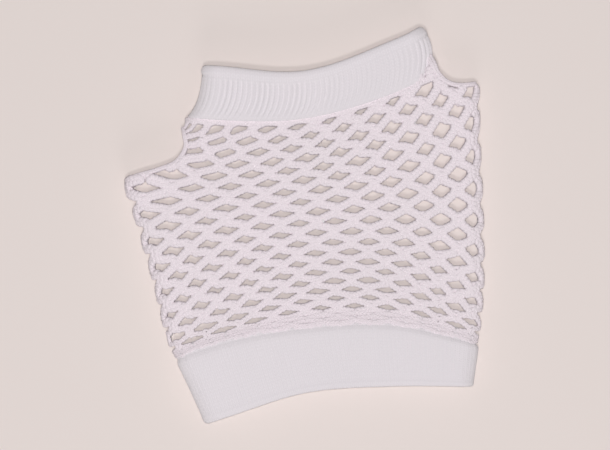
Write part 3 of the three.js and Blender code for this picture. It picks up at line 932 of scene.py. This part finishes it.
# Colours as a screen shows them: the light and the dark yarn of the net and of the fine knit, and the floor
YARN_COLOURS = ((237, 226, 232), (232, 223, 227))
KNIT_COLOURS = ((232, 225, 229), (228, 222, 226))
FLOOR_COLOUR = (224, 213, 209)

# The yarn: turns of its fibres for each turn of a ply and for each millimetre, how narrow their grooves are,
# their relief and how strongly shade is painted into the grooves
FIBRE_TURNS = (3.0, 2.6)
FIBRE_GROOVE = 2.0
YARN_RELIEF = 0.00006
YARN_GROOVE_PAINTED_SHADE = 0.60
YARN_FUZZ_SCALE = 4200.0
YARN_FUZZ = 0.8
YARN_ROUGHNESS = 0.88
YARN_SHEEN = 0.05

# The fine knit: the place of a stitch's legs to each side of its middle, their slant, how full the legs and
# the stitches are, their relief and how strongly shade is painted between them
LEG_PLACE = 0.25
LEG_SLANT = 1.6
LEG_FULLNESS = 0.5
STITCH_FULLNESS = 0.6
KNIT_RELIEF = 0.00010
KNIT_GROOVE_PAINTED_SHADE = 0.30
KNIT_FUZZ_SCALE = 3800.0
KNIT_FUZZ = 0.25
KNIT_ROUGHNESS = 0.9
KNIT_SHEEN = 0.45

FLOOR_ROUGHNESS = 0.9


class Nodes:
    """A small helper that adds and wires shader nodes."""

    def __init__(self, name):
        self.material = bpy.data.materials.new(name)
        self.material.use_nodes = True
        self.tree = self.material.node_tree
        self.shader = self.tree.nodes["Principled BSDF"]

    def add(self, kind, **settings):
        """A new node, with its inputs and its settings."""
        node = self.tree.nodes.new(kind)
        for key, value in settings.items():
            if key in node.inputs:
                node.inputs[key].default_value = value
            else:
                setattr(node, key, value)
        return node

    def wire(self, source, target):
        """Links an output to an input."""
        self.tree.links.new(source, target)

    def math(self, operation, a, b=0.0):
        """A calculation with numbers or outputs."""
        node = self.add("ShaderNodeMath", operation=operation)
        for socket, value in zip(node.inputs, (a, b)):
            if isinstance(value, (int, float)):
                socket.default_value = value
            else:
                self.wire(value, socket)
        return node.outputs[0]

    def zigzag(self, value):
        """Rises from 0 to 1 and falls back, once for each unit."""
        return self.math("MULTIPLY", self.math("PINGPONG", value, 0.5), 2.0)

    def knit_uv(self):
        """The two parts of the mesh's uv."""
        uv = self.add("ShaderNodeUVMap", uv_map="knit")
        parts = self.add("ShaderNodeSeparateXYZ")
        self.wire(uv.outputs["UV"], parts.inputs["Vector"])
        return parts.outputs["X"], parts.outputs["Y"]

    def noise(self, scale):
        """Noise through the object."""
        coords = self.add("ShaderNodeTexCoord")
        noise = self.add("ShaderNodeTexNoise", Scale=scale, Detail=NOISE_DETAIL)
        self.wire(coords.outputs["Object"], noise.inputs["Vector"])
        return noise.outputs["Fac"]

    def bump(self, height, distance):
        """Fine relief, in metres, on the shader."""
        node = self.add("ShaderNodeBump", Strength=1.0, Distance=distance)
        self.wire(height, node.inputs["Height"])
        self.wire(node.outputs["Normal"], self.shader.inputs["Normal"])

    def cloth(self, colours, painted_shade_mask, roughness, sheen):
        """Yarn colour that varies slowly over the cloth, darkened slightly by shade painted into its grooves.
        """
        light, dark = colours
        tint = self.add("ShaderNodeMix", data_type="RGBA")
        self.wire(self.noise(PATCH_SCALE), tint.inputs["Factor"])
        tint.inputs[MIX_A].default_value = srgb(light)
        tint.inputs[MIX_B].default_value = srgb(dark)
        # Painted shade: the grooves that the mask marks are darkened by multiplying in a greyish tint
        shade = self.add("ShaderNodeMix", data_type="RGBA", blend_type="MULTIPLY")
        self.wire(painted_shade_mask, shade.inputs["Factor"])
        self.wire(tint.outputs[MIX_RESULT], shade.inputs[MIX_A])
        shade.inputs[MIX_B].default_value = GROOVE_PAINTED_SHADE
        self.wire(shade.outputs[MIX_RESULT], self.shader.inputs["Base Color"])
        self.shader.inputs["Roughness"].default_value = roughness
        self.shader.inputs["Diffuse Roughness"].default_value = DIFFUSE_ROUGHNESS
        self.shader.inputs["Sheen Weight"].default_value = sheen
        self.shader.inputs["Sheen Roughness"].default_value = SHEEN_ROUGHNESS


def srgb(colour):
    """A shader's colour from its values on a screen, from 0 to 255."""
    def linear(c):
        c /= 255
        return c / 12.92 if c <= 0.04045 else ((c + 0.055) / 1.055) ** 2.4
    return tuple(linear(c) for c in colour) + (1.0,)


def yarn_material():
    """Soft spun yarn: fine twisted fibres that wind round each ply, with shade painted into their grooves."""
    nodes = Nodes("net_yarn")
    around, along = nodes.knit_uv()
    around = nodes.math("MULTIPLY", around, FIBRE_TURNS[0])
    along = nodes.math("MULTIPLY", along, FIBRE_TURNS[1])
    twist = nodes.zigzag(nodes.math("ADD", around, along))
    # Painted shade in the grooves between the twisted fibres
    painted_shade_mask = nodes.math("POWER", nodes.math("SUBTRACT", 1.0, twist), FIBRE_GROOVE)
    painted_shade_mask = nodes.math("MULTIPLY", painted_shade_mask, YARN_GROOVE_PAINTED_SHADE)
    nodes.cloth(YARN_COLOURS, painted_shade_mask, YARN_ROUGHNESS, YARN_SHEEN)
    fuzz = nodes.math("MULTIPLY", nodes.noise(YARN_FUZZ_SCALE), YARN_FUZZ)
    nodes.bump(nodes.math("ADD", twist, fuzz), YARN_RELIEF)
    return nodes.material


def knit_material():
    """Fine stocking stitch: columns of small V stitches, with shade painted between them."""
    nodes = Nodes("fine_knit")
    across, along = nodes.knit_uv()
    aside = nodes.math("ABSOLUTE", nodes.math("SUBTRACT", nodes.math("FRACT", across), 0.5))
    from_leg = nodes.math("ABSOLUTE", nodes.math("SUBTRACT", aside, LEG_PLACE))
    leg = nodes.math("SUBTRACT", 1.0, nodes.math("MULTIPLY", from_leg, 1 / LEG_PLACE))
    stitch = nodes.zigzag(nodes.math("SUBTRACT", along, nodes.math("MULTIPLY", aside, LEG_SLANT)))
    leg = nodes.math("POWER", leg, LEG_FULLNESS)
    height = nodes.math("MULTIPLY", leg, nodes.math("POWER", stitch, STITCH_FULLNESS))
    # Painted shade between the stitches' legs and between the stitches
    painted_shade_mask = nodes.math("MULTIPLY", nodes.math("SUBTRACT", 1.0, height), KNIT_GROOVE_PAINTED_SHADE)
    nodes.cloth(KNIT_COLOURS, painted_shade_mask, KNIT_ROUGHNESS, KNIT_SHEEN)
    fuzz = nodes.math("MULTIPLY", nodes.noise(KNIT_FUZZ_SCALE), KNIT_FUZZ)
    nodes.bump(nodes.math("ADD", height, fuzz), KNIT_RELIEF)
    return nodes.material


def floor_material():
    """Plain pale paint."""
    nodes = Nodes("floor_paint")
    nodes.shader.inputs["Base Color"].default_value = srgb(FLOOR_COLOUR)
    nodes.shader.inputs["Roughness"].default_value = FLOOR_ROUGHNESS
    return nodes.material


# The dressed glove

YARN = yarn_material()
KNIT = knit_material()
MIDDLE_COLUMN = 2


def dress(piece, material, replaced):
    """Gives a piece its material, attaches it to what it rides on and hides the part that it replaces."""
    piece.data.materials.append(material)
    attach(piece, BODY)
    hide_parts(replaced)


for layer, upper in (("front", 1.0), ("back", 0.0)):
    thumb_side = net_cords(f"net_{layer}_thumb_side", FIRST_COLUMN, MIDDLE_COLUMN, upper)
    dress(thumb_side, YARN, "mesh_tube")
    little_side = net_cords(f"net_{layer}_little_side", MIDDLE_COLUMN, LAST_COLUMN, upper)
    dress(little_side, YARN, "mesh_tube")

dress(cuff_gather("gather_knit"), KNIT, "cuff_gather")
dress(wrist_cuff("cuff_knit"), KNIT, "wrist_cuff")
dress(finger_band("band_knit"), KNIT, "finger_band")

dress(joining_chain("band_joining_yarn"), YARN, "mesh_tube")
dress(slit_yarn("thumb_slit_yarn", THUMB_EDGE), YARN, "thumb_slit_edge")
little_finger_yarn = slit_yarn("little_finger_slit_yarn", LITTLE_FINGER_EDGE, INTO_BAND)
dress(little_finger_yarn, YARN, "little_finger_slit_edge")


# Stage, light and camera

FLOOR_SIZE = 3.0
FLOOR_DROP = 0.0006
WORLD_STRENGTH = 0.04
SENSOR_WIDTH = 36.0
CAMERA_HEIGHT = 1.4
FRAME_WIDTH_SHOWN = 0.180

# The place that the lights are turned to, and each light's own place, size and power
LIGHTS_AIM = (0.0, 0.0, 0.0)
LIGHTS = {
    "key": ((-0.02, -0.21, 1.40), 0.10, 4.0),
    "overhead": ((0.0, 0.0, 1.42), 0.08, 13.8),
    "slant": ((0.10, -0.85, 0.55), 0.45, 1.2),
}

bpy.ops.mesh.primitive_plane_add(size=FLOOR_SIZE, location=(0, 0, -FLOOR_DROP))
floor = bpy.context.object
floor.name = "floor"
floor.data.materials.append(floor_material())


def area_light(name, location, size, power):
    """A round soft light, turned to the glove's middle."""
    data = bpy.data.lights.new(name, "AREA")
    data.shape = "DISK"
    data.size = size
    data.energy = power
    light = bpy.data.objects.new(name, data)
    bpy.context.scene.collection.objects.link(light)
    light.location = location
    way = Vector(LIGHTS_AIM) - Vector(location)
    light.rotation_euler = way.to_track_quat("-Z", "Y").to_euler()


for name, (location, size, power) in LIGHTS.items():
    area_light(name, location, size, power)

world = bpy.data.worlds.new("studio")
world.use_nodes = True
world.node_tree.nodes["Background"].inputs["Color"].default_value = (1.0, 1.0, 1.0, 1.0)
world.node_tree.nodes["Background"].inputs["Strength"].default_value = WORLD_STRENGTH
bpy.context.scene.world = world
bpy.context.scene.view_settings.view_transform = "Standard"

camera_data = bpy.data.cameras.new("camera")
camera_data.sensor_width = SENSOR_WIDTH
camera_data.lens = SENSOR_WIDTH * CAMERA_HEIGHT / FRAME_WIDTH_SHOWN
camera = bpy.data.objects.new("camera", camera_data)
bpy.context.scene.collection.objects.link(camera)
camera.location = (0.0, 0.0, CAMERA_HEIGHT)
bpy.context.scene.camera = camera
